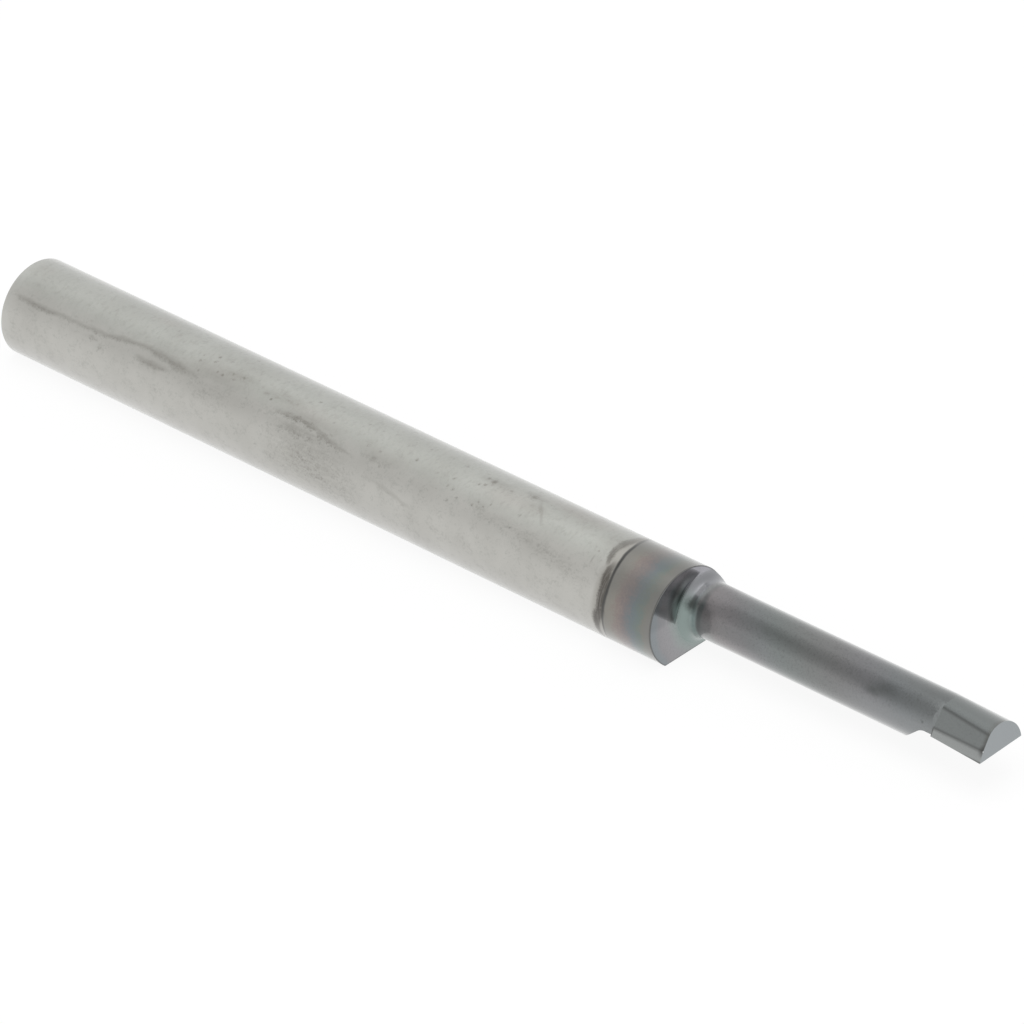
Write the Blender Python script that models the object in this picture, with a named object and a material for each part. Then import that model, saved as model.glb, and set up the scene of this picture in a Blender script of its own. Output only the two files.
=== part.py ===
"""Solid carbide boring bar with a ground neck and a single cutting corner.

The bar lies on the locating flat of its shank, which is the plane z = 0, with X along the
bar and the cutting end at +X. The rake face of the head looks down, the cutting corner
stands out towards -Y, and the origin is under the middle of the bar.
"""
import math

import bmesh
import bpy

MM = 0.001

# Shank
SHANK_DIAMETER = 8.0 * MM
SHANK_LENGTH = 70.5 * MM
FLAT_DEPTH = 1.0 * MM
REAR_CHAMFER = 0.2 * MM

# Neck, ground off centre so that its back almost reaches the shank's outer surface
NECK_DIAMETER = 4.36 * MM
NECK_REACH = 29.5 * MM
NECK_BACK_GAP = 0.05 * MM
ROOT_FILLET = 0.75 * MM

# Head, the last stretch of the neck with the relief facets
HEAD_LENGTH = 4.9 * MM
CORNER_OVERHANG = 0.33 * MM
SIDE_EDGE_TAPER = math.radians(0.3)
END_EDGE_TAPER = math.radians(1.0)
END_CLEARANCE = math.radians(5.0)
NOSE_RADIUS = 0.12 * MM
LAND_HEIGHT = 0.75 * MM
LAND_CLEARANCE = math.radians(33.0)
FACET_TOP_AT_START = math.radians(66.0)
FACET_TOP_AT_TIP = math.radians(55.0)
BACK_STEP = 0.03 * MM
BACK_TAPER = math.radians(1.3)

# Rake face and the runout that the grinding wheel leaves behind it
RAKE_PAST_HEAD = 1.1 * MM
RAKE_ANGLE = math.radians(2.5)
RUNOUT_ANGLE = math.radians(40.0)
RUNOUT_RADIUS = 1.2 * MM

# Fineness of the round surfaces, and the angle past which an edge between faces is sharp
ROUND_STEPS = 96
FILLET_STEPS = 16
BACK_STEPS = 32
NOSE_STEPS = 12
SHARP_ANGLE = math.radians(7.5)

# How far each cutter reaches past what it cuts
CUTTER_MARGIN = 2.0 * MM

# Places that follow from the sizes
OVERALL_LENGTH = SHANK_LENGTH + NECK_REACH
REAR_X = -OVERALL_LENGTH / 2
TIP_X = OVERALL_LENGTH / 2
SHOULDER_X = TIP_X - NECK_REACH
HEAD_X = TIP_X - HEAD_LENGTH
SHANK_RADIUS = SHANK_DIAMETER / 2
NECK_RADIUS = NECK_DIAMETER / 2
AXIS_Z = SHANK_RADIUS - FLAT_DEPTH
NECK_Y = SHANK_RADIUS - NECK_BACK_GAP - NECK_RADIUS
CORNER_Y = NECK_Y - NECK_RADIUS - CORNER_OVERHANG


def clear_scene():
    for old in list(bpy.data.objects):
        bpy.data.objects.remove(old, do_unlink=True)


def add_object(name, bm):
    """Make an object from a bmesh, with its faces turned outwards."""
    bmesh.ops.recalc_face_normals(bm, faces=bm.faces)
    mesh = bpy.data.meshes.new(name)
    bm.to_mesh(mesh)
    bm.free()
    obj = bpy.data.objects.new(name, mesh)
    bpy.context.scene.collection.objects.link(obj)
    return obj


def turned(name, profile, axis_y):
    """Turn a profile of (x, radius) points around an axis along X at height AXIS_Z."""
    bm = bmesh.new()
    verts = [bm.verts.new((x, axis_y, AXIS_Z + radius)) for x, radius in profile]
    edges = [bm.edges.new(pair) for pair in zip(verts, verts[1:])]
    bmesh.ops.spin(
        bm,
        geom=verts + edges,
        cent=(0, axis_y, AXIS_Z),
        axis=(1, 0, 0),
        angle=math.tau,
        steps=ROUND_STEPS,
        use_merge=True,
    )
    bmesh.ops.remove_doubles(bm, verts=bm.verts, dist=1e-7)
    return add_object(name, bm)


def arc(center_x, center_r, radius, start, end, steps):
    """Points of an arc in the plane of a profile, from one angle to another."""
    angles = [start + (end - start) * i / steps for i in range(steps + 1)]
    return [(center_x + radius * math.cos(a), center_r + radius * math.sin(a)) for a in angles]


def carbide_rod():
    """The ground rod that the bar is made from, chamfered at the rear."""
    profile = [
        (REAR_X, 0),
        (REAR_X, SHANK_RADIUS - REAR_CHAMFER),
        (REAR_X + REAR_CHAMFER, SHANK_RADIUS),
        (HEAD_X, SHANK_RADIUS),
        (HEAD_X, 0),
    ]
    return turned("boring_bar", profile, 0)


def neck_envelope():
    """All that the neck grinding leaves: the shank, the shoulder, the fillet and the neck."""
    outside = SHANK_DIAMETER * 2
    root = arc(
        SHOULDER_X + ROOT_FILLET,
        NECK_RADIUS + ROOT_FILLET,
        ROOT_FILLET,
        math.pi,
        math.pi * 1.5,
        FILLET_STEPS,
    )
    profile = [(REAR_X - CUTTER_MARGIN, 0), (REAR_X - CUTTER_MARGIN, outside), (SHOULDER_X, outside)]
    profile += root
    profile += [(HEAD_X + CUTTER_MARGIN, NECK_RADIUS), (HEAD_X + CUTTER_MARGIN, 0)]
    return turned("neck_envelope", profile, NECK_Y)


def head_outline(edge_y, back_radius, facet_top):
    """Outline of the head across the bar, as (y, z) points.

    It runs from below the cutting edge up the narrow land, up the wider facet to where it
    meets the round back, over the back and straight down. The facet's top is an angle
    around the neck's axis. The rake cutter later takes all that lies below the edge.
    """
    land_slope = math.tan(LAND_CLEARANCE)
    bottom = AXIS_Z - NECK_RADIUS
    foot = (edge_y - NECK_RADIUS * land_slope, bottom)
    land_top = (edge_y + LAND_HEIGHT * land_slope, AXIS_Z + LAND_HEIGHT)
    back = arc(NECK_Y, AXIS_Z, back_radius, math.pi - facet_top, 0, BACK_STEPS)
    return [foot, land_top] + back + [(NECK_Y + back_radius, bottom)]


def head_blank():
    """The head before the rake face is cut: a loft between its start and its end face."""
    start_edge_y = CORNER_Y + HEAD_LENGTH * math.tan(SIDE_EDGE_TAPER)
    start_radius = NECK_RADIUS - BACK_STEP
    end_radius = start_radius - HEAD_LENGTH * math.tan(BACK_TAPER)
    bm = bmesh.new()
    start_outline = head_outline(start_edge_y, start_radius, FACET_TOP_AT_START)
    start = [bm.verts.new((HEAD_X, y, z)) for y, z in start_outline]
    end = []
    for y, z in head_outline(CORNER_Y, end_radius, FACET_TOP_AT_TIP):
        set_back = (z - AXIS_Z) * math.tan(END_CLEARANCE) + (y - CORNER_Y) * math.tan(END_EDGE_TAPER)
        end.append(bm.verts.new((TIP_X - set_back, y, z)))
    bm.faces.new(start)
    bm.faces.new(end)
    count = len(start)
    for i in range(count):
        j = (i + 1) % count
        bm.faces.new((start[i], start[j], end[j], end[i]))
    nose = bm.edges.get((end[0], end[1]))
    bmesh.ops.bevel(
        bm,
        geom=[nose],
        offset=NOSE_RADIUS,
        offset_type="OFFSET",
        affect="EDGES",
        segments=NOSE_STEPS,
        profile=0.5,
        material=-1,
    )
    return add_object("head_blank", bm)


def prism(name, outline, half_width):
    """A closed prism with an (x, z) outline, centred on the plane y = 0."""
    bm = bmesh.new()
    side = bm.faces.new([bm.verts.new((x, -half_width, z)) for x, z in outline])
    sweep = bmesh.ops.extrude_face_region(bm, geom=[side])
    moved = [item for item in sweep["geom"] if isinstance(item, bmesh.types.BMVert)]
    bmesh.ops.translate(bm, verts=moved, vec=(0, 2 * half_width, 0))
    return add_object(name, bm)


def flat_cutter():
    """What is ground away below the locating flat, along the whole shank."""
    low = -SHANK_RADIUS
    rear = REAR_X - CUTTER_MARGIN
    front = TIP_X + CUTTER_MARGIN
    return prism("flat_cutter", [(rear, low), (front, low), (front, 0), (rear, 0)], SHANK_DIAMETER)


def rake_cutter():
    """What the wheel takes from under the head: the rake face, a round and the sloping runout."""
    low = -CUTTER_MARGIN
    front = TIP_X + CUTTER_MARGIN
    rake_length = HEAD_LENGTH + RAKE_PAST_HEAD
    corner_x = TIP_X - rake_length
    corner_z = AXIS_Z + rake_length * math.tan(RAKE_ANGLE)
    tangent_length = RUNOUT_RADIUS * math.tan((RUNOUT_ANGLE + RAKE_ANGLE) / 2)
    center_x = corner_x + tangent_length * math.cos(RAKE_ANGLE) - RUNOUT_RADIUS * math.sin(RAKE_ANGLE)
    center_z = corner_z - tangent_length * math.sin(RAKE_ANGLE) - RUNOUT_RADIUS * math.cos(RAKE_ANGLE)
    wall_side = math.pi / 2 + RUNOUT_ANGLE
    face_side = math.pi / 2 - RAKE_ANGLE
    outline = [(corner_x - (corner_z - low) / math.tan(RUNOUT_ANGLE), low)]
    outline += arc(center_x, center_z, RUNOUT_RADIUS, wall_side, face_side, FILLET_STEPS)
    outline += [(front, AXIS_Z - CUTTER_MARGIN * math.tan(RAKE_ANGLE)), (front, low)]
    return prism("rake_cutter", outline, SHANK_DIAMETER)


def apply_boolean(obj, other, operation):
    """Cut or join with another object, keep the result as the mesh and remove the other."""
    step = obj.modifiers.new(other.name, "BOOLEAN")
    step.operation = operation
    step.object = other
    step.solver = "EXACT"
    evaluated = obj.evaluated_get(bpy.context.evaluated_depsgraph_get())
    mesh = bpy.data.meshes.new_from_object(evaluated)
    obj.modifiers.clear()
    obj.data = mesh
    bpy.data.objects.remove(other)


def carbide_material():
    material = bpy.data.materials.new("carbide")
    material.use_nodes = True
    shader = material.node_tree.nodes["Principled BSDF"]
    shader.inputs["Base Color"].default_value = (0.42, 0.42, 0.40, 1)
    shader.inputs["Metallic"].default_value = 1.0
    shader.inputs["Roughness"].default_value = 0.35
    return material


def main():
    clear_scene()
    bar = carbide_rod()
    apply_boolean(bar, neck_envelope(), "INTERSECT")
    apply_boolean(bar, head_blank(), "UNION")
    apply_boolean(bar, flat_cutter(), "DIFFERENCE")
    apply_boolean(bar, rake_cutter(), "DIFFERENCE")
    bar.data.materials.append(carbide_material())
    bar.data.shade_smooth()
    bar.data.set_sharp_from_angle(angle=SHARP_ANGLE)


main()
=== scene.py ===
import math

import bmesh
import bpy
from mathutils import Matrix, Vector


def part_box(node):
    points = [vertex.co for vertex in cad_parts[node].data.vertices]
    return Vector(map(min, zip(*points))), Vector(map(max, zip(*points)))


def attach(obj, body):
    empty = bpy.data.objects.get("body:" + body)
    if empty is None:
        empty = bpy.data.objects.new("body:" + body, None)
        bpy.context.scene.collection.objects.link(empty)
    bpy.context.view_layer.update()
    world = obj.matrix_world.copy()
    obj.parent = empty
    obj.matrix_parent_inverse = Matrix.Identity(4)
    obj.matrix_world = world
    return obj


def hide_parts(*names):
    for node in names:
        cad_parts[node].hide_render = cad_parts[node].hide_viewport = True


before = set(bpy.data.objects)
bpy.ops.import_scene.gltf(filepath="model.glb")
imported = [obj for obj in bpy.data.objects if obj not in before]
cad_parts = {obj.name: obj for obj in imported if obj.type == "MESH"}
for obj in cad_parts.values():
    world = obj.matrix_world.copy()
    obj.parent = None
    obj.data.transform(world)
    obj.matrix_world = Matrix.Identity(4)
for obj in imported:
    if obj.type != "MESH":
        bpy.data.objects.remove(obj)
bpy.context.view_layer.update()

# The view
# The bar is seen from the side of its cutting end and from above, from far off with a
# long lens, so that its two long edges are almost parallel in the picture.
MM = 0.001
VIEW_AIM = Vector((0.0, 2.394, 2.668)) * MM
VIEW_DISTANCE = 649.92 * MM
VIEW_AZIMUTH = math.radians(46.98)
VIEW_ELEVATION = math.radians(32.77)
VIEW_ROLL = math.radians(-4.675)
LENS_LENGTH = 303.9

towards_camera = Vector(
    (
        math.sin(VIEW_AZIMUTH) * math.cos(VIEW_ELEVATION),
        -math.cos(VIEW_AZIMUTH) * math.cos(VIEW_ELEVATION),
        math.sin(VIEW_ELEVATION),
    )
)
lens = bpy.data.cameras.new("camera")
lens.lens = LENS_LENGTH
lens.sensor_width = 36.0
lens.clip_start = 0.01
lens.clip_end = 10.0
camera = bpy.data.objects.new("camera", lens)
bpy.context.scene.collection.objects.link(camera)
facing = towards_camera.to_track_quat("Z", "Y").to_matrix().to_4x4()
camera.matrix_world = (
    Matrix.Translation(VIEW_AIM + towards_camera * VIEW_DISTANCE)
    @ facing
    @ Matrix.Rotation(VIEW_ROLL, 4, "Z")
)
bpy.context.scene.camera = camera


# The studio
# A white floor and a white room, in soft light from all sides. The room is dimmer in three
# high places, and their reflections are what gives round, shiny metal its form.
FLOOR_SIZE = 6.0
FLOOR_DROP = 0.01 * MM
FLOOR_COLOR = (0.92, 0.92, 0.92, 1.0)
FLOOR_SHADED_SHARE = 0.1
ROOM_WHITE = 1.0
LAMP_HEIGHT = 0.9
LAMP_SIZE = 0.8
LAMP_POWER = 3.3

# Each dim place: its direction, how much darker its middle is, and the cosine of its edge
DIM_PLACES = (
    (Vector((-0.615, -0.441, 0.653)), 0.27, 0.76),
    (Vector((-0.615, 0.350, 0.706)), 0.12, 0.25),
    (Vector((0.62, 0.55, 0.56)), 0.30, 0.60),
)
WHITE_RAYS = ("Is Camera Ray", "Is Glossy Ray", "Is Transmission Ray")


class Wire:
    """A shader socket that takes part in sums: each operation adds one Math node."""

    def __init__(self, shading, socket):
        self.shading = shading
        self.socket = socket

    def math(self, operation, *values):
        return self.shading.node("ShaderNodeMath", {"operation": operation}, [self, *values])

    def reflected(self, operation, value):
        return self.shading.node("ShaderNodeMath", {"operation": operation}, [value, self])

    def __add__(self, other):
        return self.math("ADD", other)

    def __radd__(self, other):
        return self.reflected("ADD", other)

    def __sub__(self, other):
        return self.math("SUBTRACT", other)

    def __rsub__(self, other):
        return self.reflected("SUBTRACT", other)

    def __mul__(self, other):
        return self.math("MULTIPLY", other)

    def __rmul__(self, other):
        return self.reflected("MULTIPLY", other)

    def __truediv__(self, other):
        return self.math("DIVIDE", other)

    def __rtruediv__(self, other):
        return self.reflected("DIVIDE", other)

    def __pow__(self, other):
        return self.math("POWER", other)

    def __neg__(self):
        return self.math("MULTIPLY", -1.0)

    def __abs__(self):
        return self.math("ABSOLUTE")


class Shading:
    """The node tree of a material or of the world, filled by plain calls."""

    def __init__(self, owner):
        owner.use_nodes = True
        self.tree = owner.node_tree
        self.tree.nodes.clear()

    def node(self, kind, settings, inputs, output=0):
        """Add a node: first its settings, then its sockets by place or name.

        It gives the named output, or a list of them when several are named.
        """
        node = self.tree.nodes.new(kind)
        for name, value in settings.items():
            if name == "stops":
                self.set_stops(node.color_ramp, value)
            else:
                setattr(node, name, value)
        pairs = inputs.items() if isinstance(inputs, dict) else enumerate(inputs)
        for key, value in pairs:
            if isinstance(value, Wire):
                self.tree.links.new(value.socket, node.inputs[key])
            else:
                node.inputs[key].default_value = value
        if not len(node.outputs):
            return node
        if isinstance(output, (list, tuple)):
            return [Wire(self, node.outputs[key]) for key in output]
        return Wire(self, node.outputs[output])

    def set_stops(self, ramp, stops):
        while len(ramp.elements) < len(stops):
            ramp.elements.new(1.0)
        for element, (position, color) in zip(ramp.elements, stops):
            element.position = position
            element.color = (*color, 1.0)

    def blend(self, amount, below, above):
        """Mix two colours, given as wires or as three numbers."""
        colors = [c if isinstance(c, Wire) else (*c, 1.0) for c in (below, above)]
        inputs = {0: amount, 6: colors[0], 7: colors[1]}
        return self.node("ShaderNodeMix", {"data_type": "RGBA"}, inputs, output=2)

    def step(self, value, start, end):
        """A soft step from 0 at start to 1 at end."""
        settings = {"interpolation_type": "SMOOTHSTEP"}
        return self.node("ShaderNodeMapRange", settings, [value, start, end, 0.0, 1.0])

    def noise(self, place, scale, detail, roughness):
        """Fractal noise between 0 and 1, about 0.5 on average."""
        inputs = {"Vector": place, "Scale": scale, "Detail": detail, "Roughness": roughness}
        return self.node("ShaderNodeTexNoise", {"noise_dimensions": "3D"}, inputs)

    def stretched(self, place, factors):
        """The place with each axis multiplied by its own number."""
        return self.node("ShaderNodeVectorMath", {"operation": "MULTIPLY"}, [place, factors])


bm = bmesh.new()
bmesh.ops.create_grid(bm, x_segments=1, y_segments=1, size=FLOOR_SIZE / 2)
bmesh.ops.translate(bm, verts=bm.verts, vec=(0, 0, -FLOOR_DROP))
floor_mesh = bpy.data.meshes.new("floor")
bm.to_mesh(floor_mesh)
bm.free()
floor = bpy.data.objects.new("floor", floor_mesh)
bpy.context.scene.collection.objects.link(floor)
floor_finish = bpy.data.materials.new("floor")
shading = Shading(floor_finish)
paper = shading.node("ShaderNodeBsdfDiffuse", {}, {"Color": FLOOR_COLOR})
seen, mirrored, through = shading.node("ShaderNodeLightPath", {}, {}, output=WHITE_RAYS)
own_light = shading.node("ShaderNodeEmission", {}, {"Strength": ROOM_WHITE})
reflected_white = shading.node("ShaderNodeMixShader", {}, [mirrored + through, paper, own_light])
seen_white = shading.node("ShaderNodeMixShader", {}, [FLOOR_SHADED_SHARE, own_light, paper])
floor_look = shading.node("ShaderNodeMixShader", {}, [seen, reflected_white, seen_white])
shading.node("ShaderNodeOutputMaterial", {}, {"Surface": floor_look})
floor_mesh.materials.append(floor_finish)

world = bpy.data.worlds.new("room")
bpy.context.scene.world = world
shading = Shading(world)
direction = shading.node("ShaderNodeTexCoord", {}, {}, output="Generated")
seen = shading.node("ShaderNodeLightPath", {}, {}, output="Is Camera Ray")
dimmed = 0.0
for centre, dimming, edge in DIM_PLACES:
    nearness = shading.node(
        "ShaderNodeVectorMath",
        {"operation": "DOT_PRODUCT"},
        [direction, centre.normalized()],
        output="Value",
    )
    dimmed = shading.step(nearness, edge, 1.0) * dimming + dimmed
brightness = shading.node("ShaderNodeMix", {}, {0: seen, 2: ROOM_WHITE - dimmed, 3: ROOM_WHITE})
background = shading.node(
    "ShaderNodeBackground", {}, {"Color": (1, 1, 1, 1), "Strength": brightness}
)
shading.node("ShaderNodeOutputWorld", {}, {"Surface": background})

lamp_data = bpy.data.lights.new("overhead_lamp", "AREA")
lamp_data.size = LAMP_SIZE
lamp_data.energy = LAMP_POWER
lamp = bpy.data.objects.new("overhead_lamp", lamp_data)
lamp.location = (0, 0, LAMP_HEIGHT)
bpy.context.scene.collection.objects.link(lamp)


# The bar
# One ground rod of fine-grain tungsten carbide: a round shank with a flat, a slim neck
# ground off centre, and a half-round head whose rake face looks down. No part is joined on.
low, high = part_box("boring_bar")
REAR_X = low.x
TIP_X = -low.x
SHANK_RADIUS = (high.y - low.y) / 2
AXIS_Z = high.z - SHANK_RADIUS
SHOULDER_X = 20.5 * MM
REAR_CHAMFER = 0.2 * MM
NECK_RADIUS = 2.18 * MM
NECK_BACK_GAP = 0.05 * MM
NECK_Y = SHANK_RADIUS - NECK_BACK_GAP - NECK_RADIUS
ROOT_FILLET = 0.9 * MM
SHANK_STEPS = 240
NECK_STEPS = 192
FILLET_STEPS = 24
RING_SPACING = 1.0 * MM
RIM_BREAK = 0.04 * MM
EDGE_BREAK = 0.03 * MM
OUTSIDE = 4 * SHANK_RADIUS

# Places closer than this, in metres, are one place
SAME_PLACE = 1e-7


def spaced(start, end, radius):
    """Points of a straight run along the bar, about one ring spacing apart."""
    count = max(1, round(abs(end - start) / RING_SPACING))
    return [(start + (end - start) * i / count, radius) for i in range(count + 1)]


def arc(center, radius, start, end, steps):
    """Points of an arc in a plane, from one angle to another."""
    angles = [start + (end - start) * i / steps for i in range(steps + 1)]
    return [(center[0] + radius * math.cos(a), center[1] + radius * math.sin(a)) for a in angles]


def turned(profile, axis_y, steps):
    """Turn a profile of (x, radius) points around an axis along the bar."""
    bm = bmesh.new()
    verts = [bm.verts.new((x, axis_y, AXIS_Z + radius)) for x, radius in profile]
    edges = [bm.edges.new(pair) for pair in zip(verts, verts[1:])]
    bmesh.ops.spin(
        bm,
        geom=verts + edges,
        cent=(0, axis_y, AXIS_Z),
        axis=(1, 0, 0),
        angle=math.tau,
        steps=steps,
        use_merge=True,
    )
    bmesh.ops.remove_doubles(bm, verts=bm.verts, dist=SAME_PLACE)
    bmesh.ops.recalc_face_normals(bm, faces=bm.faces)
    return bm


def shape(name, bm):
    """Make an object of a finished bmesh."""
    mesh = bpy.data.meshes.new(name)
    bm.to_mesh(mesh)
    bm.free()
    obj = bpy.data.objects.new(name, mesh)
    bpy.context.scene.collection.objects.link(obj)
    return obj


def work(bar, other, operation):
    """Cut, join or trim the bar with another shape, which is used up."""
    step = bar.modifiers.new(other.name, "BOOLEAN")
    step.operation = operation
    step.object = other
    step.solver = "EXACT"
    evaluated = bar.evaluated_get(bpy.context.evaluated_depsgraph_get())
    mesh = bpy.data.meshes.new_from_object(evaluated)
    bar.modifiers.clear()
    bar.data = mesh
    bpy.data.objects.remove(other)


def trim(bar, point, normal):
    """Grind away all that lies past a plane, and give the new face's edges in the mesh."""
    bm = bmesh.new()
    bm.from_mesh(bar.data)
    cut = bmesh.ops.bisect_plane(
        bm,
        geom=list(bm.verts) + list(bm.edges) + list(bm.faces),
        plane_co=point,
        plane_no=normal,
        clear_outer=True,
    )
    rim = [item for item in cut["geom_cut"] if isinstance(item, bmesh.types.BMEdge)]
    bmesh.ops.holes_fill(bm, edges=rim, sides=0)
    bmesh.ops.recalc_face_normals(bm, faces=bm.faces)
    return bm, rim


HEAD_LENGTH = 4.9 * MM
HEAD_X = TIP_X - HEAD_LENGTH
rod_profile = [(REAR_X, 0), (REAR_X, SHANK_RADIUS - REAR_CHAMFER)]
rod_profile += spaced(REAR_X + REAR_CHAMFER, SHOULDER_X - RIM_BREAK, SHANK_RADIUS)
rod_profile += [
    (SHOULDER_X, SHANK_RADIUS - RIM_BREAK),
    (HEAD_X, SHANK_RADIUS - RIM_BREAK),
    (HEAD_X, 0),
]
bar = shape("bar", turned(rod_profile, 0, SHANK_STEPS))

BACK_STEP = 0.03 * MM
END_TAPER = 0.6 * MM
HEAD_STANDS_OUT = 0.004 * MM
NECK_END_RADIUS = NECK_RADIUS - BACK_STEP - HEAD_STANDS_OUT
OVERRUN = 1 * MM
root_center = (SHOULDER_X + ROOT_FILLET, NECK_RADIUS + ROOT_FILLET)
neck_profile = [(REAR_X - OVERRUN, 0), (REAR_X - OVERRUN, OUTSIDE), (SHOULDER_X, OUTSIDE)]
neck_profile += arc(root_center, ROOT_FILLET, math.pi, 1.5 * math.pi, FILLET_STEPS)
neck_profile += spaced(root_center[0], HEAD_X - END_TAPER, NECK_RADIUS)[1:]
neck_profile += [
    (HEAD_X, NECK_END_RADIUS),
    (HEAD_X + OVERRUN, NECK_END_RADIUS),
    (HEAD_X + OVERRUN, 0),
]
work(bar, shape("neck_grinding", turned(neck_profile, NECK_Y, NECK_STEPS)), "INTERSECT")

CORNER_OVERHANG = 0.33 * MM
CORNER_Y = NECK_Y - NECK_RADIUS - CORNER_OVERHANG
SIDE_EDGE_TAPER = math.radians(0.3)
END_EDGE_TAPER = math.radians(1.0)
END_CLEARANCE = math.radians(5.0)
NOSE_RADIUS = 0.12 * MM
NOSE_STEPS = 8
LAND_HEIGHT = 0.75 * MM
LAND_CLEARANCE = math.radians(33.0)
FACET_TOP_AT_START = math.radians(66.0)
FACET_TOP_AT_TIP = math.radians(55.0)
BACK_TAPER = math.radians(1.3)
BACK_STEPS = 64
FACET_RAMP = math.radians(35.0)


def head_outline(edge_y, back_radius, facet_top):
    """Outline of the head across the bar, as (y, z) points.

    It runs from below the cutting edge up the narrow land, up the wider facet to where it
    meets the round back, over the back and straight down.
    """
    slope = math.tan(LAND_CLEARANCE)
    bottom = AXIS_Z - NECK_RADIUS
    foot = (edge_y - NECK_RADIUS * slope, bottom)
    land_top = (edge_y + LAND_HEIGHT * slope, AXIS_Z + LAND_HEIGHT)
    back = arc((NECK_Y, AXIS_Z), back_radius, math.pi - facet_top, 0, BACK_STEPS)
    return [foot, land_top] + back + [(NECK_Y + back_radius, bottom)]


def is_ridge(edge, ends):
    """Whether an edge of the head runs between the two given places."""
    places = [vert.co for vert in edge.verts]
    return all(min((place - end).length for place in places) < SAME_PLACE for end in ends)


bm = bmesh.new()
start_radius = NECK_RADIUS - BACK_STEP
end_radius = start_radius - HEAD_LENGTH * math.tan(BACK_TAPER)
start_edge_y = CORNER_Y + HEAD_LENGTH * math.tan(SIDE_EDGE_TAPER)
start_outline = head_outline(start_edge_y, start_radius, FACET_TOP_AT_START)
end_outline = head_outline(CORNER_Y, end_radius, FACET_TOP_AT_TIP)
start = [bm.verts.new((HEAD_X, y, z)) for y, z in start_outline]
end = []
for y, z in end_outline:
    set_back = (z - AXIS_Z) * math.tan(END_CLEARANCE) + (y - CORNER_Y) * math.tan(END_EDGE_TAPER)
    end.append(bm.verts.new((TIP_X - set_back, y, z)))
land_edge = (start[1].co.copy(), end[1].co.copy())
facet_edge = (start[2].co.copy(), end[2].co.copy())

# The wheel that ground the facet left a short ramp where it entered the neck
across = facet_edge[0] - land_edge[0]
outwards = Vector((0, -across.z, across.y)).normalized()
ramp_normal = outwards * math.cos(FACET_RAMP) + Vector((math.sin(FACET_RAMP), 0, 0))
ramp_cut, _ = trim(bar, land_edge[0], ramp_normal)
ramp_cut.to_mesh(bar.data)
ramp_cut.free()
start_loop = [bm.edges.new((a, b)) for a, b in zip(start, start[1:] + start[:1])]
end_loop = [bm.edges.new((a, b)) for a, b in zip(end, end[1:] + end[:1])]
bmesh.ops.bridge_loops(bm, edges=start_loop + end_loop)
bm.faces.new(start)
bm.faces.new(end)
nose = bm.edges.get((end[0], end[1]))
bmesh.ops.bevel(
    bm,
    geom=[nose],
    offset=NOSE_RADIUS,
    offset_type="OFFSET",
    affect="EDGES",
    segments=NOSE_STEPS,
    profile=0.5,
    material=-1,
)
edges = [e for e in bm.edges if is_ridge(e, land_edge) or is_ridge(e, facet_edge)]
bmesh.ops.bevel(
    bm,
    geom=edges,
    offset=EDGE_BREAK,
    offset_type="OFFSET",
    affect="EDGES",
    segments=2,
    profile=0.5,
    material=-1,
)
bmesh.ops.recalc_face_normals(bm, faces=bm.faces)
work(bar, shape("head", bm), "UNION")

RAKE_PAST_HEAD = 1.1 * MM
RAKE_LENGTH = HEAD_LENGTH + RAKE_PAST_HEAD
RAKE_ANGLE = math.radians(2.5)
RUNOUT_ANGLE = math.radians(40.0)
RUNOUT_RADIUS = 1.2 * MM
RUNOUT_STEPS = 20
CUTTER_MARGIN = 2 * MM

corner_x = TIP_X - RAKE_LENGTH
corner_z = AXIS_Z + RAKE_LENGTH * math.tan(RAKE_ANGLE)
tangent = RUNOUT_RADIUS * math.tan((RUNOUT_ANGLE + RAKE_ANGLE) / 2)
round_center = (
    corner_x + tangent * math.cos(RAKE_ANGLE) - RUNOUT_RADIUS * math.sin(RAKE_ANGLE),
    corner_z - tangent * math.sin(RAKE_ANGLE) - RUNOUT_RADIUS * math.cos(RAKE_ANGLE),
)
below = -CUTTER_MARGIN
beyond = TIP_X + CUTTER_MARGIN
outline = [(corner_x - (corner_z - below) / math.tan(RUNOUT_ANGLE), below)]
outline += arc(
    round_center, RUNOUT_RADIUS, math.pi / 2 + RUNOUT_ANGLE, math.pi / 2 - RAKE_ANGLE, RUNOUT_STEPS
)
outline += [(beyond, AXIS_Z - CUTTER_MARGIN * math.tan(RAKE_ANGLE)), (beyond, below)]
bm = bmesh.new()
side = bm.faces.new([bm.verts.new((x, -OUTSIDE / 2, z)) for x, z in outline])
sweep = bmesh.ops.extrude_face_region(bm, geom=[side])
moved = [item for item in sweep["geom"] if isinstance(item, bmesh.types.BMVert)]
bmesh.ops.translate(bm, verts=moved, vec=(0, OUTSIDE, 0))
bmesh.ops.recalc_face_normals(bm, faces=bm.faces)
work(bar, shape("rake_grinding", bm), "DIFFERENCE")

# Last the locating flat is ground along the shank, and its rim is broken
MERGE_DISTANCE = 0.002 * MM
SLIVER_WIDTH = 0.001 * MM
SHARP_ANGLE = math.radians(15.0)

# Past this cosine between a face's normal and an axis, the face is one of the flat ones
FLAT_COSINE = 0.9999

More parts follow.
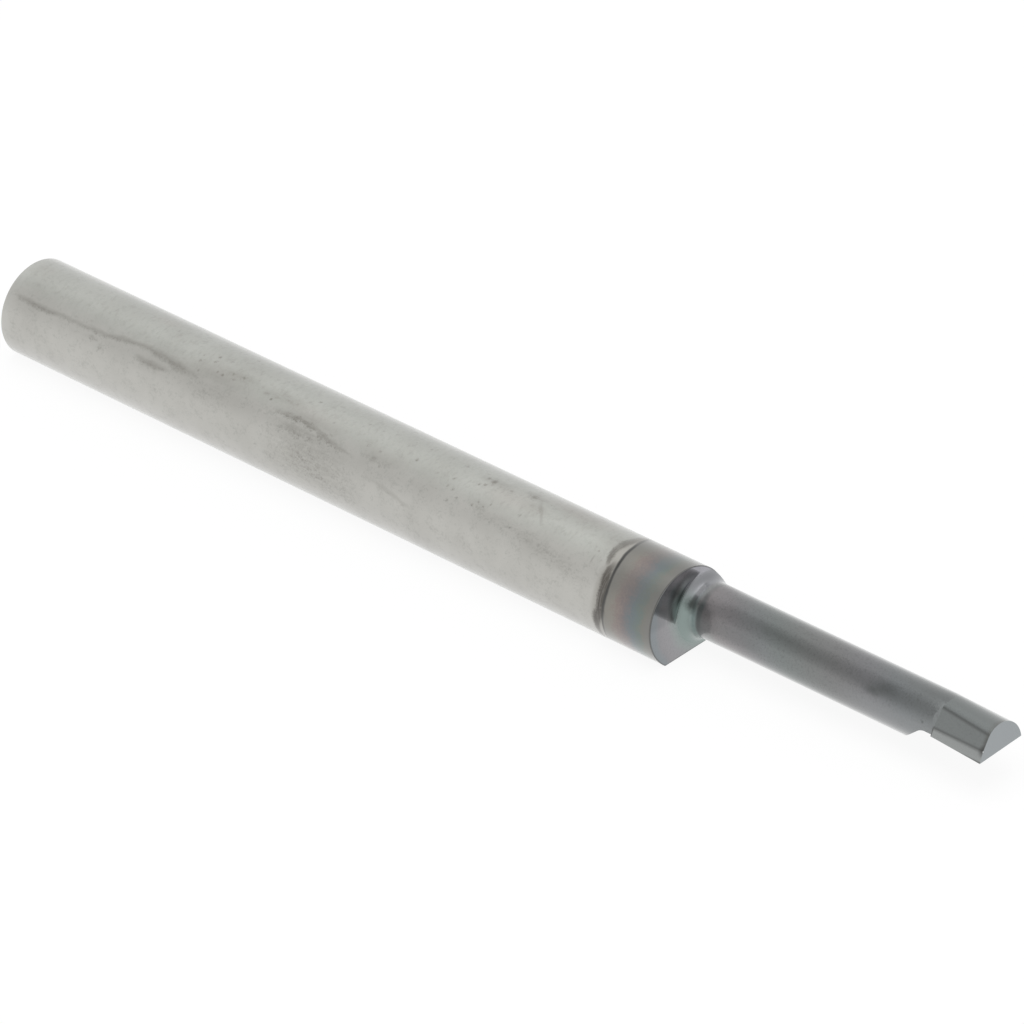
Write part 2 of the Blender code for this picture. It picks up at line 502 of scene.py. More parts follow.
bm, rim = trim(bar, (0, 0, 0), (0, 0, -1))
bmesh.ops.bevel(
    bm,
    geom=[edge for edge in rim if edge.is_valid],
    offset=RIM_BREAK,
    offset_type="OFFSET",
    affect="EDGES",
    segments=2,
    profile=0.5,
    material=-1,
    clamp_overlap=True,
)
bmesh.ops.remove_doubles(bm, verts=bm.verts, dist=MERGE_DISTANCE)
bmesh.ops.dissolve_degenerate(bm, edges=bm.edges, dist=SLIVER_WIDTH)
bmesh.ops.recalc_face_normals(bm, faces=bm.faces)
for face in bm.faces:
    face.smooth = abs(face.normal.x) < FLAT_COSINE and face.normal.z > -FLAT_COSINE
bm.to_mesh(bar.data)
bm.free()
bar.data.set_sharp_from_angle(angle=SHARP_ANGLE)

# The finish of the bar
# Bare carbide is a warm grey, clouded and stained where the rod was handled and wiped. The
# front was coated: past a wavy, dirty edge line the film shows faint interference colours.
BARE_LOW = (0.518, 0.510, 0.478)
BARE_HIGH = (0.422, 0.431, 0.401)
BARE_TAN = (0.412, 0.400, 0.372)
BARE_PALE = (0.56, 0.56, 0.53)
REAR_PAINTED_LIGHT = (0.62, 0.62, 0.595)
STAIN_COLOR = (0.215, 0.205, 0.180)
DIRT_COLOR = (0.090, 0.080, 0.068)
# A near-black for dark lines, burrs and edges, also used as painted shade on the shoulder face
INK_AND_SHADE_COLOR = (0.045, 0.045, 0.042)
BARE_ROUGHNESS = 0.46
DIRT_ROUGHNESS = 0.45
FILM_ROUGHNESS = 0.33
NECK_ROUGHNESS = 0.2
ROOT_ROUGHNESS = 0.42
FACE_ROUGHNESS = 0.09
OIL_ROUGHNESS = 0.08
RELIEF_DEPTH = 0.004 * MM
THINNEST_STROKE = 1e-4

# Places are given as a distance along the bar in millimetres and an angle around it in
# degrees, 0 at the side of the cutting corner and 90 at the top.
finish = bpy.data.materials.new("ground_carbide")
shading = Shading(finish)
object_place = shading.node("ShaderNodeTexCoord", {}, {}, output="Object")
place = shading.node(
    "ShaderNodeVectorMath", {"operation": "SCALE"}, {"Vector": object_place, "Scale": 1 / MM}
)
x, y, z = shading.node("ShaderNodeSeparateXYZ", {}, [place], output=("X", "Y", "Z"))
up = z - AXIS_Z / MM
shank_angle = up.math("ARCTAN2", -y) * math.degrees(1)
shank_radius = (up * up + y * y) ** 0.5
neck_side = NECK_Y / MM - y
neck_angle = up.math("ARCTAN2", neck_side) * math.degrees(1)
neck_radius = (up * up + neck_side * neck_side) ** 0.5

# Patterns that all the layers share, from the coarsest to the finest, then stretched ones
cloud = shading.noise(place, 0.22, detail=3.0, roughness=0.6)
blotch = shading.noise(place, 1.1, detail=4.0, roughness=0.6)
ragged = shading.noise(place, 2.3, detail=4.0, roughness=0.7)
speckle = shading.noise(place, 5.5, detail=3.0, roughness=0.65)
grime = shading.noise(shading.stretched(place, (1.3, 4.2, 4.2)), 1.0, detail=4.0, roughness=0.7)
turning = shading.noise(shading.stretched(place, (7.0, 0.35, 0.35)), 1.0, detail=3.0, roughness=0.7)
grain = shading.noise(shading.stretched(place, (3.2, 1.7, 3.2)), 1.0, detail=3.0, roughness=0.65)


def ramp(value, first, last, points):
    """A run of colours over a value, as (value, colour) points."""
    stops = [((p - first) / (last - first), color) for p, color in points]
    return shading.node("ShaderNodeValToRGB", {"stops": stops}, [(value - first) / (last - first)])


def within(value, middle, reach, core):
    """1 where a value is within core of its middle, falling softly to 0 at reach."""
    return shading.step(abs(value - middle), reach, core)


def layered(below, *layers):
    """A colour with more colours laid over it in turn, as (how much, colour)."""
    for amount, paint in layers:
        below = shading.blend(amount, below, paint)
    return below


def course(along, points):
    """The middle, half width and strength that a stroke has at each place along it."""
    first, last = points[0][0], points[-1][0]
    lowest = min(p[1] for p in points)
    spread = max(p[1] for p in points) - lowest or 1.0
    widest = max(p[2] for p in points)
    colors = [(p[0], ((p[1] - lowest) / spread, p[2] / widest, p[3])) for p in points]
    color = ramp(along, first, last, colors)
    parts = shading.node("ShaderNodeSeparateColor", {}, [color], output=("Red", "Green", "Blue"))
    return parts[0] * spread + lowest, parts[1] * widest + THINNEST_STROKE, parts[2]


def stroke(along, across, points, blur=0.2):
    """A stroke of changing course and width, given as points of (along, across, half width,
    strength).
    """
    middle, half_width, strength = course(along, points)
    return shading.step(abs(across - middle) / half_width, 1.0, blur) * strength


def spots(sheet, ovals, blur=0.0):
    """Soft ovals on an unrolled surface.

    Each is given as (along, across, half length, half width, strength).
    """
    cover = 0.0
    for along, across, length, width, strength in ovals:
        middle = (along, across, 0)
        away = shading.node("ShaderNodeVectorMath", {"operation": "SUBTRACT"}, [sheet, middle])
        away = shading.stretched(away, (1 / length, 1 / width, 0))
        off = shading.node("ShaderNodeVectorMath", {"operation": "LENGTH"}, [away], output="Value")
        cover = (shading.step(off, 1.0, blur) * strength).math("MAXIMUM", cover)
    return cover


# The stains on the bare shank
rough_x = x + (ragged - 0.5) * 1.6
rough_angle = shank_angle + (blotch - 0.5) * 16 + (speckle - 0.5) * 10
rough_sheet = shading.node("ShaderNodeCombineXYZ", {}, [rough_x, rough_angle, 0.0])
sheet = shading.node("ShaderNodeCombineXYZ", {}, [x, shank_angle + (speckle - 0.5) * 6, 0.0])
wiped_angle = shank_angle + (blotch - 0.5) * 8 + (speckle - 0.5) * 4
rub_mark = stroke(
    x,
    wiped_angle,
    [
        (-49.2, 45, 3, 0.0),
        (-48.2, 44.5, 5, 0.38),
        (-47.0, 43.5, 5.8, 0.56),
        (-45.0, 43.5, 5.8, 0.56),
        (-43.6, 45.5, 4.5, 0.34),
        (-41.0, 46, 4.5, 0.36),
        (-38.8, 47, 4.5, 0.36),
        (-37.4, 50.5, 6, 0.5),
        (-35.6, 53, 5, 0.42),
        (-33.8, 54.5, 6, 0.46),
        (-32.0, 52.5, 7, 0.5),
        (-30.6, 50, 9, 0.5),
        (-29.2, 49.5, 7, 0.25),
        (-27.6, 50, 6, 0.0),
    ],
    blur=0.0,
)
second_mark = stroke(
    x,
    wiped_angle,
    [
        (-35.4, 41, 3, 0.0),
        (-34.8, 40, 5, 0.4),
        (-33.6, 38.5, 6.5, 0.54),
        (-32.4, 39.5, 6, 0.5),
        (-31.9, 40.5, 4, 0.3),
        (-31.2, 42, 3, 0.0),
    ],
    blur=0.0,
)
dark_line = stroke(
    x,
    rough_angle,
    [
        (-20.6, 54, 3, 0.0),
        (-19.2, 54, 4, 0.42),
        (-17.6, 55, 4, 0.46),
        (-16.4, 54, 4.5, 0.46),
        (-15.2, 49, 5, 0.4),
        (-13.2, 46, 5, 0.4),
        (-12.0, 43, 4, 0.2),
        (-11.0, 42, 3, 0.0),
    ],
)
brown_line = stroke(
    x,
    wiped_angle,
    [
        (-9.6, 30, 3.4, 0.0),
        (-8.0, 28, 4.0, 0.18),
        (-6.6, 24.5, 4.4, 0.24),
        (-5.2, 20, 3.8, 0.22),
        (-4.2, 18, 3.0, 0.0),
    ],
    blur=0.0,
)
faint_line = stroke(
    x,
    wiped_angle,
    [
        (1.0, 50, 7, 0.0),
        (3.2, 48, 11, 0.2),
        (6.6, 46, 12, 0.22),
        (8.4, 41, 13, 0.27),
        (11.0, 36, 13, 0.24),
        (13.0, 30, 11, 0.2),
        (14.4, 27, 7, 0.0),
    ],
    blur=0.0,
)
brown_thread = stroke(
    x,
    shank_angle + (blotch - 0.5) * 10,
    [
        (5.5, 93, 3, 0.0),
        (6.0, 87, 5, 0.3),
        (6.6, 79, 5, 0.3),
        (7.2, 69, 4, 0.25),
        (7.6, 64, 3, 0.0),
    ],
)
tan_patches = spots(
    rough_sheet,
    [
        (-27.0, 58, 5.4, 24, 0.8),
        (-17.0, 60, 5.0, 24, 0.9),
        (-8.5, 55, 4.5, 18, 0.7),
        (3.5, 78, 4.5, 28, 0.8),
        (9.0, 104, 6.0, 18, 0.9),
        (-48.3, 90, 1.8, 12, 0.5),
        (-35.0, 98, 2.2, 12, 0.6),
    ],
)
ragged_stains = spots(
    rough_sheet,
    [
        (-15.5, 16, 6.4, 46, 0.44),
        (-13.2, 2, 5.2, 30, 0.3),
        (-20.0, 71, 3.4, 13, 0.38),
        (-17.2, 41, 4.4, 12, 0.5),
        (-17.5, 56, 4.2, 16, 0.3),
        (-25.0, 71, 3.4, 10, 0.32),
        (-27.3, 58, 3.6, 15, 0.16),
        (-26.5, 38, 5.0, 18, 0.14),
        (-30.4, 47, 2.2, 13, 0.16),
        (-39.9, 37, 0.9, 5, 0.4),
        (-38.9, 32, 0.4, 5, 0.35),
        (1.2, 90, 2.2, 10, 0.44),
        (5.1, 97, 2.0, 11, 0.55),
        (14.0, 86, 2.2, 24, 0.24),
        (6.1, 80, 2.2, 14, 0.3),
        (1.2, 56, 1.7, 8, 0.2),
        (9.0, 98, 6.0, 24, 0.28),
        (-9.2, 52, 2.2, 9, 0.22),
    ],
)
pits = spots(
    sheet,
    [
        (-47.4, -6, 0.25, 4, 0.25),
        (-28.1, 82, 0.22, 3.2, 0.85),
        (-28.9, 56, 0.18, 2.6, 0.5),
        (-27.2, 64, 0.18, 2.6, 0.6),
        (-26.6, 63, 0.22, 3.0, 0.85),
        (-25.8, 70, 0.2, 2.6, 0.6),
        (-24.7, 71, 0.3, 3.0, 0.8),
        (-21.9, 66, 0.5, 4.0, 0.45),
        (-21.2, 62, 0.2, 2.6, 0.85),
        (-10.6, 87, 0.18, 2.4, 0.4),
        (-9.5, 52, 0.35, 3.6, 0.35),
        (-6.0, 71, 0.22, 2.8, 0.8),
        (-5.9, 93, 0.2, 3.0, 0.35),
        (-3.6, 68, 0.2, 2.6, 0.35),
        (1.03, 89, 0.36, 4.6, 1.0),
        (0.35, 91, 0.26, 3.6, 0.65),
        (0.2, 77, 0.2, 2.8, 0.7),
        (0.65, 80, 0.24, 3.4, 0.75),
        (2.9, 88, 0.26, 3.0, 0.65),
        (4.8, 94, 0.4, 4.6, 0.75),
        (0.9, 52, 0.16, 2.4, 0.6),
        (1.3, 58, 0.16, 2.4, 0.6),
        (1.9, 55, 0.18, 2.4, 0.6),
        (2.4, 61, 0.16, 2.4, 0.5),
        (13.25, 55, 0.13, 10.0, 0.4),
        (13.32, 66.6, 0.18, 2.6, 0.55),
    ],
)
smeared_place = shading.node(
    "ShaderNodeCombineXYZ", {}, [x + (speckle - 0.5) * 0.9, y + (speckle - 0.5) * 0.5, z]
)
cell, tone = shading.node(
    "ShaderNodeTexVoronoi",
    {"feature": "F1"},
    {"Vector": smeared_place, "Scale": 1.5, "Randomness": 1.0},
    output=("Distance", "Color"),
)
luck = shading.node("ShaderNodeSeparateColor", {}, [tone], output="Red")
handled = within(x, -12.5, 23, 17) * 0.4 + 0.25
fine_pits = shading.step(cell, 0.3, 0.04) * shading.step(luck, 0.5, 0.95)
fine_pits = fine_pits * shading.step(rough_angle, 22, 50)
patchy = shading.step(grime, 0.34, 0.66) * 0.7 + shading.step(speckle, 0.4, 0.64) * 0.5 + 0.1
marks = rub_mark.math("MAXIMUM", second_mark) * (patchy * 0.4 + 0.66)
marks = marks.math("MAXIMUM", dark_line * (patchy * 0.6 + 0.6))
marks = marks.math("MAXIMUM", brown_line).math("MAXIMUM", brown_thread)
marks = marks.math("MAXIMUM", faint_line * patchy)
clouded = ragged_stains * (patchy * 0.85 + 0.25)
stain = marks + (1.0 - marks) * clouded
stain = stain + (1.0 - stain) * (pits.math("MAXIMUM", fine_pits * handled))
high_side = shading.step(rough_angle, 44, 70)
mottled = blotch * 1.2 + speckle * 2.4 + grime * 0.8 - 1.85
mottled = mottled.math("MAXIMUM", 0.0).math("MINIMUM", 1.0)
smudged = (blotch * 0.9 + speckle * 1.2 + grime * 0.5 - 1.3) * (0.9 - high_side * 0.4)
color = layered(
    shading.blend(high_side, BARE_LOW, BARE_HIGH),
    (tan_patches * high_side, BARE_TAN),
    (mottled * 0.55, BARE_PALE),
    ((cloud - 0.35) * 0.5, STAIN_COLOR),
    (smudged, STAIN_COLOR),
    ((grain - 0.5) * high_side * 1.1, STAIN_COLOR),
    # Painted light: a paler band over the last millimetre of the rear end
    (shading.step(x, -48.6, -49.7) * 0.25, REAR_PAINTED_LIGHT),
    (stain, STAIN_COLOR),
)

# The edge of the coating: a thin black line, and a wider brown one along the bare side
SMEAR_COLOR = (0.352, 0.338, 0.308)
THIN_FILM_COLOR = (0.34, 0.34, 0.33)
HIGH_FILM_COLOR = (0.168, 0.170, 0.156)
FILM_SPECKLE_COLOR = (0.09, 0.092, 0.086)

edge_points = [
    (-180, 15.1, 0.10, 0.8),
    (-90, 15.0, 0.10, 0.8),
    (-40, 15.32, 0.10, 0.5),
    (-28, 15.42, 0.11, 0.6),
    (-15, 15.56, 0.14, 0.75),
    (0, 15.64, 0.18, 0.8),
    (15, 15.70, 0.20, 0.9),
    (30, 15.74, 0.20, 0.95),
    (45, 15.68, 0.20, 0.9),
    (60, 15.58, 0.22, 1.0),
    (75, 15.44, 0.24, 1.0),
    (90, 15.36, 0.22, 0.95),
    (105, 15.2, 0.2, 0.6),
    (120, 15.0, 0.12, 0.6),
    (180, 15.1, 0.10, 0.8),
]
black_line = stroke(shank_angle, x + (blotch - 0.5) * 0.08, edge_points)
edge_x = course(shank_angle, edge_points)[0]
wavy_x = x + (blotch - 0.5) * 0.3 + (speckle - 0.5) * 0.3
lower_brown = stroke(
    shank_angle,
    wavy_x,
    [
        (-180, 14.8, 0.2, 0.6),
        (-60, 14.8, 0.2, 0.5),
        (-28, 14.8, 0.3, 0.5),
        (-15, 14.88, 0.42, 0.78),
        (-6, 15.02, 0.6, 0.9),
        (0, 15.2, 0.76, 0.92),
        (8, 15.4, 0.66, 0.97),
        (15, 15.42, 0.56, 1.0),
        (30, 15.38, 0.64, 0.95),
        (45, 15.2, 0.58, 0.92),
        (54, 15.14, 0.46, 0.78),
        (60, 15.22, 0.36, 0.42),
        (66, 15.28, 0.26, 0.0),
        (180, 14.8, 0.2, 0.0),
    ],
    blur=0.3,
)
upper_brown = stroke(
    shank_angle,
    wavy_x,
    [
        (54, 14.72, 0.2, 0.0),
        (60, 14.62, 0.34, 0.55),
        (66, 14.52, 0.44, 0.68),
        (75, 14.42, 0.44, 0.7),
        (90, 14.55, 0.54, 0.62),
        (105, 14.85, 0.6, 0.45),
        (118, 14.9, 0.4, 0.4),
        (180, 14.8, 0.2, 0.6),
    ],
    blur=0.3,
)
brown_edge = lower_brown.math("MAXIMUM", upper_brown)
streaks = shading.noise(shading.stretched(place, (9.0, 0.9, 0.9)), 1.0, detail=2.0, roughness=0.6)
streaks = shading.step(streaks + (speckle - 0.5) * 0.4, 0.25, 0.5)
brown_edge = brown_edge * streaks.math("MAXIMUM", 0.8)
coated = shading.step(x, edge_x - 0.04, edge_x + 0.08)
smear = shading.step(x, 14.3, 14.9) * (1.0 - coated)
film_x = x + (blotch - 0.5) * 1.6 + (speckle - 0.5) * 1.3
film = ramp(
    film_x,
    15.5,
    20.5,
    [
        (15.8, (0.216, 0.210, 0.188)),
        (16.5, (0.232, 0.218, 0.190)),
        (17.1, (0.226, 0.184, 0.168)),
        (17.8, (0.184, 0.160, 0.158)),
        (18.6, (0.132, 0.163, 0.176)),
        (19.3, (0.140, 0.174, 0.158)),
        (19.8, (0.178, 0.178, 0.156)),
        (20.4, (0.186, 0.182, 0.170)),
    ],
)
film = layered(
    film,
    (within(shank_angle, 54, 30, 6) * 0.24, THIN_FILM_COLOR),
    (shading.step(shank_angle, 76, 100) * 0.55, HIGH_FILM_COLOR),
    ((speckle - 0.35) * 0.28, FILM_SPECKLE_COLOR),
)
color = layered(
    color,
    (smear * 0.75, SMEAR_COLOR),
    (coated, film),
    (brown_edge, DIRT_COLOR),
    (black_line, INK_AND_SHADE_COLOR),
)

# The coated neck, with the film's colours drifting along it and dark spots on it. Some of its
# colour is painted light and shade: painted light low down near its end, at the root and on the
# fillet, painted shade on top at its end, in a low patch and on the upper fillet, and a painted
# reflection of the neck's dark band in the fillet
NECK_SPECKLE_COLOR = (0.10, 0.102, 0.102)
NECK_PAINTED_LIGHT_COLOR = (0.27, 0.28, 0.285)
NECK_END_SHADE_COLOR = (0.12, 0.13, 0.13)
NECK_SHADE_COLOR = (0.10, 0.11, 0.108)
ROOT_PAINTED_LIGHT_COLOR = (0.36, 0.35, 0.35)
ROOT_LINE_COLOR = (0.080, 0.112, 0.110)
SPOT_AND_REFLECTION_COLOR = (0.022, 0.032, 0.028)
DRIFT_COLOR = (0.07, 0.08, 0.075)
FILLET_LOW_COLOR = (0.228, 0.285, 0.270)
FILLET_HIGH_COLOR = (0.290, 0.296, 0.312)
FILLET_PAINTED_SHADE_COLOR = (0.062, 0.064, 0.070)
FILLET_PAINTED_LIGHT_COLOR = (0.47, 0.57, 0.555)

neck_x = x + (neck_angle - 20.0) * 0.03 + (blotch - 0.5) * 2.0
neck_film = ramp(
    neck_x,
    20.5,
    50.0,
    [
        (21.6, (0.20, 0.225, 0.218)),
        (22.3, (0.21, 0.208, 0.205)),
        (23.2, (0.218, 0.202, 0.203)),
        (25.5, (0.198, 0.190, 0.196)),
        (28.0, (0.182, 0.193, 0.196)),
        (30.0, (0.172, 0.19, 0.186)),
        (33.0, (0.180, 0.188, 0.184)),
        (36.0, (0.186, 0.186, 0.186)),
        (39.0, (0.188, 0.188, 0.196)),
        (42.0, (0.172, 0.184, 0.19)),
        (45.5, (0.182, 0.194, 0.195)),
    ],
)
root_line = stroke(
    neck_angle,
    x + (speckle - 0.5) * 0.2,
    [
        (-180, 21.9, 0.3, 0.5),
        (-40, 21.9, 0.3, 0.25),
        (0, 21.95, 0.34, 0.25),
        (40, 21.95, 0.38, 0.55),
        (62, 21.9, 0.34, 0.3),
        (85, 21.85, 0.3, 0.2),
        (180, 21.9, 0.3, 0.3),
    ],
)
drift_band = stroke(
    x,
    neck_angle + (blotch - 0.5) * 14,
    [
        (26.0, 59, 12, 0.0),
        (28.0, 55, 14, 0.2),
        (30.5, 52, 15, 0.25),
        (33.0, 49, 14, 0.16),
        (36.0, 46, 14, 0.1),
        (38.2, 42, 15, 0.15),
        (39.2, 41, 17, 0.42),
        (40.4, 42, 18, 0.2),
        (44.0, 50, 14, 0.05),
        (45.0, 52, 12, 0.0),
    ],
    blur=0.0,
)
neck_sheet = shading.node(
    "ShaderNodeCombineXYZ", {}, [x + (speckle - 0.5) * 0.3, neck_angle + (ragged - 0.5) * 10, 0.0]
)
# Dark spots on the neck; the first, on the fillet, is a painted reflection of the neck's dark band
spots_and_painted_reflection = spots(
    neck_sheet,
    [
        (21.06, 37, 0.62, 23, 1.0),
        (22.05, 41, 0.75, 19, 0.48),
        (21.9, 62, 0.35, 16, 0.27),
        (22.8, 36, 0.8, 14, 0.26),
        (38.9, 34, 1.2, 13, 0.38),
        (40.1, 52, 1.7, 23, 0.32),
        (44.05, 23, 0.2, 4.0, 0.55),
    ],
)
# Painted light: the low side of the neck towards its end is made lighter
painted_low_light = shading.step(x, 34.0, 39.5) * shading.step(neck_angle, 30, 10)
# Painted shade: the top of the neck near its end is made darker, over a highlight there
end_shade = shading.step(x, 39.5, 44.0) * shading.step(neck_angle, 62, 84)
low_shade = within(x, 25.8, 3.2, 1.2) * within(neck_angle, 14, 20, 8)
# Painted light: the low side near the root is made lighter, where it mirrors the darker shoulder
# face
root_painted_light = shading.step(x, 23.8, 22.4) * shading.step(neck_angle, 30, 5)
on_fillet = shading.step(x, 21.6, 21.2)
fillet_film = shading.blend(shading.step(neck_angle, 30, 70), FILLET_LOW_COLOR, FILLET_HIGH_COLOR)
# Painted shade on the upper fillet, which darkens a glint there
fillet_painted_shade = shading.step(x, 20.86, 21.04) * shading.step(x, 21.41, 21.2)
fillet_painted_shade = fillet_painted_shade * within(neck_angle, 62, 38, 14)
# Painted light on the fillet and the root of the neck, where they mirror darker things
fillet_painted_light = stroke(
    neck_angle,
    x,
    [
        (-180, 21.45, 0.42, 0.0),
        (-40, 21.45, 0.42, 0.3),
        (-20, 21.45, 0.42, 0.8),
        (0, 21.45, 0.42, 0.95),
        (12, 21.45, 0.42, 0.95),
        (22, 21.5, 0.36, 0.62),
        (32, 21.52, 0.3, 0.3),
        (42, 21.5, 0.3, 0.0),
        (52, 21.5, 0.3, 0.08),
        (66, 21.55, 0.3, 0.22),
        (92, 21.6, 0.3, 0.14),
        (180, 21.6, 0.3, 0.0),
    ],
)
neck_color = layered(
    neck_film,
    ((speckle - 0.5) * 2.4, NECK_SPECKLE_COLOR),
    (painted_low_light * 0.45, NECK_PAINTED_LIGHT_COLOR),
    (end_shade * 0.55, NECK_END_SHADE_COLOR),
    (low_shade * 0.3, NECK_SHADE_COLOR),
    (root_painted_light * 0.5, ROOT_PAINTED_LIGHT_COLOR),
    (on_fillet, fillet_film),
    (fillet_painted_shade * 0.92, FILLET_PAINTED_SHADE_COLOR),
    (fillet_painted_light, FILLET_PAINTED_LIGHT_COLOR),
    (root_line, ROOT_LINE_COLOR),
    (drift_band, DRIFT_COLOR),
    (spots_and_painted_reflection, SPOT_AND_REFLECTION_COLOR),
)
on_neck = shading.step(x, SHOULDER_X / MM - 0.02, SHOULDER_X / MM - 0.005)
color = shading.blend(on_neck, color, neck_color)

# The shoulder face, ground in rings around the neck, and the dark line along its rim. Where the
# face mirrors the neck its colour is painted lighter and darker in that reflection's shape, as
# painted reflection and painted shade
FACE_HIGH_COLOR = (0.345, 0.342, 0.372)
FACE_BACK_COLOR = (0.300, 0.305, 0.325)
FACE_REFLECTION_COLOR = (0.400, 0.425, 0.455)
FACE_REFLECTION_FOOT_COLOR = (0.085, 0.100, 0.110)
FACE_REFLECTION_TOP_COLOR = (0.530, 0.530, 0.560)
FACE_SPECKLE_COLOR = (0.15, 0.155, 0.16)

on_face = within(x, SHOULDER_X / MM, 0.03, 0.01) * shading.step(neck_radius, 2.80, 2.93)
rings = shading.node(
    "ShaderNodeTexNoise",
    {"noise_dimensions": "1D"},
    {"W": neck_radius, "Scale": 6.0, "Detail": 3.0, "Roughness": 0.7},
)
face_film = ramp(
    neck_radius + (blotch - 0.5) * 0.6,
    2.8,
    6.0,
    [
        (2.93, (0.226, 0.270, 0.258)),
        (3.4, (0.248, 0.272, 0.268)),
        (3.9, (0.254, 0.252, 0.262)),
        (4.4, (0.246, 0.240, 0.250)),
        (4.8, (0.230, 0.226, 0.236)),
        (5.2, (0.200, 0.222, 0.236)),
        (5.9, (0.188, 0.210, 0.222)),
    ],
)
# Painted reflection: where the face mirrors the neck, a band is made lighter, its foot darker and
# its top lighter
painted_reflection_band = shading.step(neck_angle, 24, 38) * shading.step(neck_angle, 72, 60)
painted_reflection_band = painted_reflection_band * shading.step(neck_radius, 4.0, 4.25)
painted_reflection_foot = within(neck_angle, 15, 13, 6) * shading.step(neck_radius, 3.85, 4.3)
painted_reflection_top = within(neck_angle, 65, 18, 6)
# Painted shade inside the neck's reflection in the face: a patch low down and a ring around the
# neck
inner_shade = within(neck_radius, 3.35, 0.42, 0.15) * within(neck_angle, 21, 18, 8)
inner_ring_shade = shading.step(neck_radius + (rings - 0.5) * 0.3, 4.0, 3.9)
inner_ring_shade = inner_ring_shade * shading.step(neck_angle, 2, 10) * shading.step(neck_angle, 96, 84)
rim_line = shading.step(shank_radius, 3.88, 3.95) * within(x, SHOULDER_X / MM - 0.04, 0.11, 0.05)
foot_line = shading.step(z, 0.12, 0.04) * on_face
face_color = layered(
    face_film,
    (shading.step(neck_angle, 50, 72), FACE_HIGH_COLOR),
    (shading.step(neck_angle, 84, 110) * 0.6, FACE_BACK_COLOR),
    (painted_reflection_band * 0.6, FACE_REFLECTION_COLOR),
    (painted_reflection_foot * 0.3, FACE_REFLECTION_FOOT_COLOR),
    (painted_reflection_top * 0.75, FACE_REFLECTION_TOP_COLOR),
    ((speckle - 0.5) * 1.6, FACE_SPECKLE_COLOR),
    (inner_shade * 0.5, INK_AND_SHADE_COLOR),
    (inner_ring_shade * 0.22, INK_AND_SHADE_COLOR),
)
color = layered(
    color,
    (on_face, face_color),
    (rim_line * 0.55 + foot_line * 0.35, INK_AND_SHADE_COLOR),
)


# The ground facets of the head, the fine dark burrs between them, and a painted glint at the tip's
# corner
BACK_COLOR = (0.186, 0.202, 0.200)
FACET_COLOR = (0.234, 0.251, 0.248)
LAND_COLOR = (0.33, 0.345, 0.34)
END_COLOR = (0.285, 0.307, 0.318)
HEAD_SPECKLE_COLOR = (0.12, 0.13, 0.128)
END_DUST_COLOR = (0.10, 0.095, 0.08)
CORNER_GLINT_COLOR = (0.62, 0.64, 0.64)


def off_ridge(ends):
    """Distance in millimetres from a straight edge that runs along the bar."""
    near, far = ends[0] / MM, ends[1] / MM
    share = (x - near.x) / (far.x - near.x)
    off_y = y - (share * (far.y - near.y) + near.y)
    off_z = z - (share * (far.z - near.z) + near.z)
    return (off_y * off_y + off_z * off_z) ** 0.5


on_head = shading.step(x, HEAD_X / MM - 0.02, HEAD_X / MM + 0.02)
cut_side = shading.step(y, 0.6, 0.4)
on_land = shading.step(up, LAND_HEIGHT / MM + 0.02, LAND_HEIGHT / MM - 0.02) * cut_side
end_slope = up * math.tan(END_CLEARANCE) + (y - CORNER_Y / MM) * math.tan(END_EDGE_TAPER)
on_end = shading.step(x + end_slope, TIP_X / MM - 0.02, TIP_X / MM - 0.005)
facet_fall = math.degrees(FACET_TOP_AT_START - FACET_TOP_AT_TIP) * MM / HEAD_LENGTH
past_facet = neck_angle + (x - HEAD_X / MM) * facet_fall
facet_top = math.degrees(FACET_TOP_AT_START)
on_facet = shading.step(past_facet, facet_top + 1, facet_top - 1)
head_color = layered(
    shading.blend(on_facet, BACK_COLOR, FACET_COLOR),
    ((speckle - 0.5) * 1.2, HEAD_SPECKLE_COLOR),
    (on_land, LAND_COLOR),
    (on_end, END_COLOR),
)
ridges = off_ridge(land_edge).math("MINIMUM", off_ridge(facet_edge))
burr = shading.step(ridges + (speckle - 0.5) * 0.12, 0.24, 0.0) * on_head * (1.0 - on_end * 0.8)
off_end = 1.0 - on_end
off_land = 1.0 - on_land
end_rim = shading.step(x + end_slope, TIP_X / MM - 0.34, TIP_X / MM - 0.06) * off_end
dusty_x = x + end_slope + (speckle - 0.5) * 0.3
end_dust = shading.step(dusty_x, TIP_X / MM - 0.55, TIP_X / MM - 0.05) * off_end
cutting_edge = shading.step(up, 0.17, 0.03) * cut_side * on_head * off_end
start_line = within(x, HEAD_X / MM, 0.1, 0.03) * shading.step(neck_angle, 26, 16) * cut_side
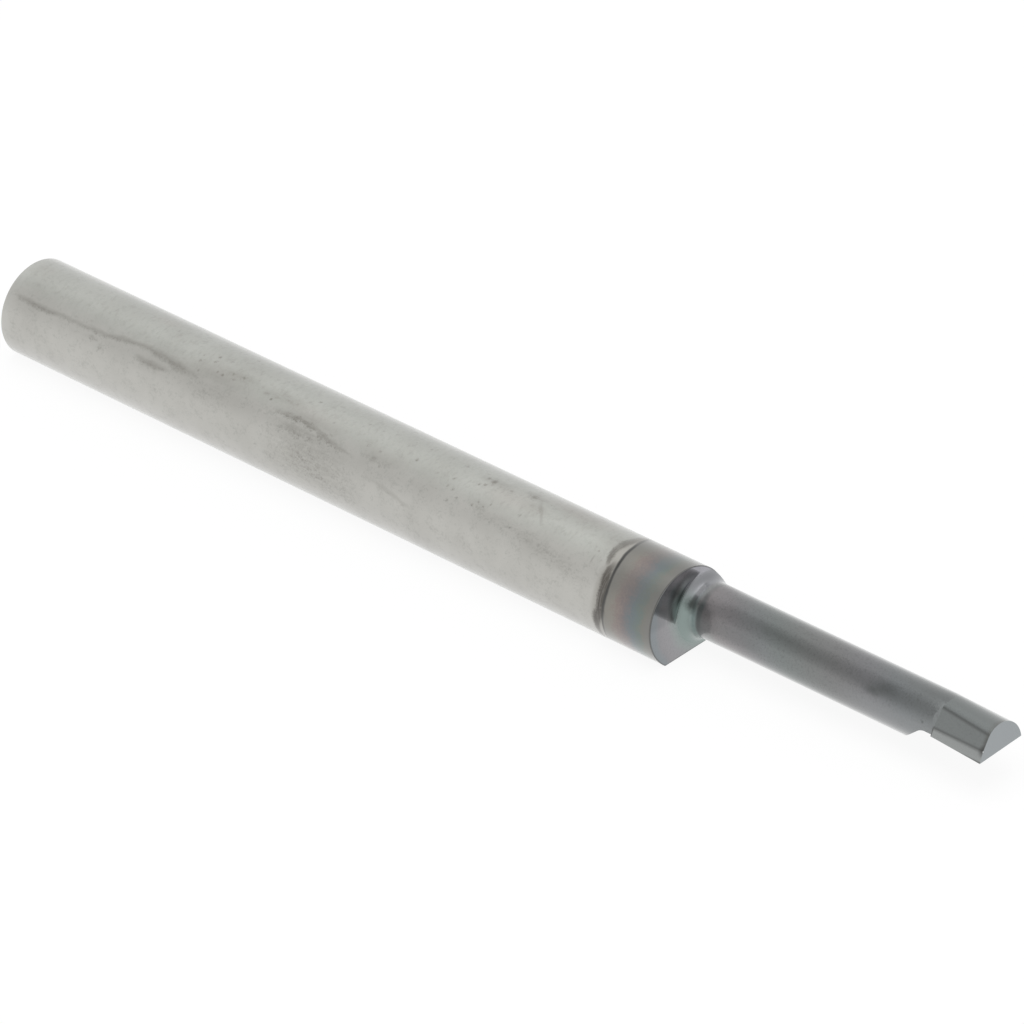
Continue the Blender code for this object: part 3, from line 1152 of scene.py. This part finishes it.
# At the corner of land, facet and end face: a dark patch with a painted glint, a small bright dot,
# in its middle
nick_and_glint = tuple(land_edge[1] / MM)
off_nick_and_glint = shading.node(
    "ShaderNodeVectorMath", {"operation": "DISTANCE"}, [place, nick_and_glint], output="Value"
)
color = layered(
    color,
    (on_head, head_color),
    (burr * 0.5, INK_AND_SHADE_COLOR),
    (end_rim * cut_side * off_land * 0.4, INK_AND_SHADE_COLOR),
    (end_dust * off_land * 0.3, END_DUST_COLOR),
    (cutting_edge * 0.6, INK_AND_SHADE_COLOR),
    (start_line * 0.7, INK_AND_SHADE_COLOR),
    (shading.step(off_nick_and_glint, 0.6, 0.1) * off_end * 0.6, INK_AND_SHADE_COLOR),
    (shading.step(off_nick_and_glint, 0.09, 0.04) * 0.7, CORNER_GLINT_COLOR),
)

# Gloss and relief: fine turning marks, rings on the shoulder face, and a thin film of oil
roughness = BARE_ROUGHNESS + (blotch - 0.5) * 0.1
roughness = roughness + coated * (FILM_ROUGHNESS - BARE_ROUGHNESS)
roughness = roughness + brown_edge * (DIRT_ROUGHNESS - FILM_ROUGHNESS)
root = shading.step(x, 25.0, 22.0) * (ROOT_ROUGHNESS - NECK_ROUGHNESS)
roughness = roughness + on_neck * (NECK_ROUGHNESS + root - roughness)
roughness = roughness + on_face * (FACE_ROUGHNESS - roughness)
relief = (turning * 0.6 + speckle * 0.4) * (1.0 - on_face) + rings * on_face * 0.3
bump = shading.node(
    "ShaderNodeBump", {}, {"Strength": 0.4, "Distance": RELIEF_DEPTH, "Height": relief}
)
surface = shading.node(
    "ShaderNodeBsdfPrincipled",
    {},
    {
        "Base Color": color,
        "Metallic": 1.0,
        "Roughness": roughness,
        "Normal": bump,
        "Coat Weight": 1.0,
        "Coat Roughness": OIL_ROUGHNESS,
    },
)
shading.node("ShaderNodeOutputMaterial", {}, {"Surface": surface})
bar.data.materials.clear()
bar.data.materials.append(finish)
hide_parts("boring_bar")
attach(bar, "root")

bpy.context.scene.view_settings.view_transform = "Standard"
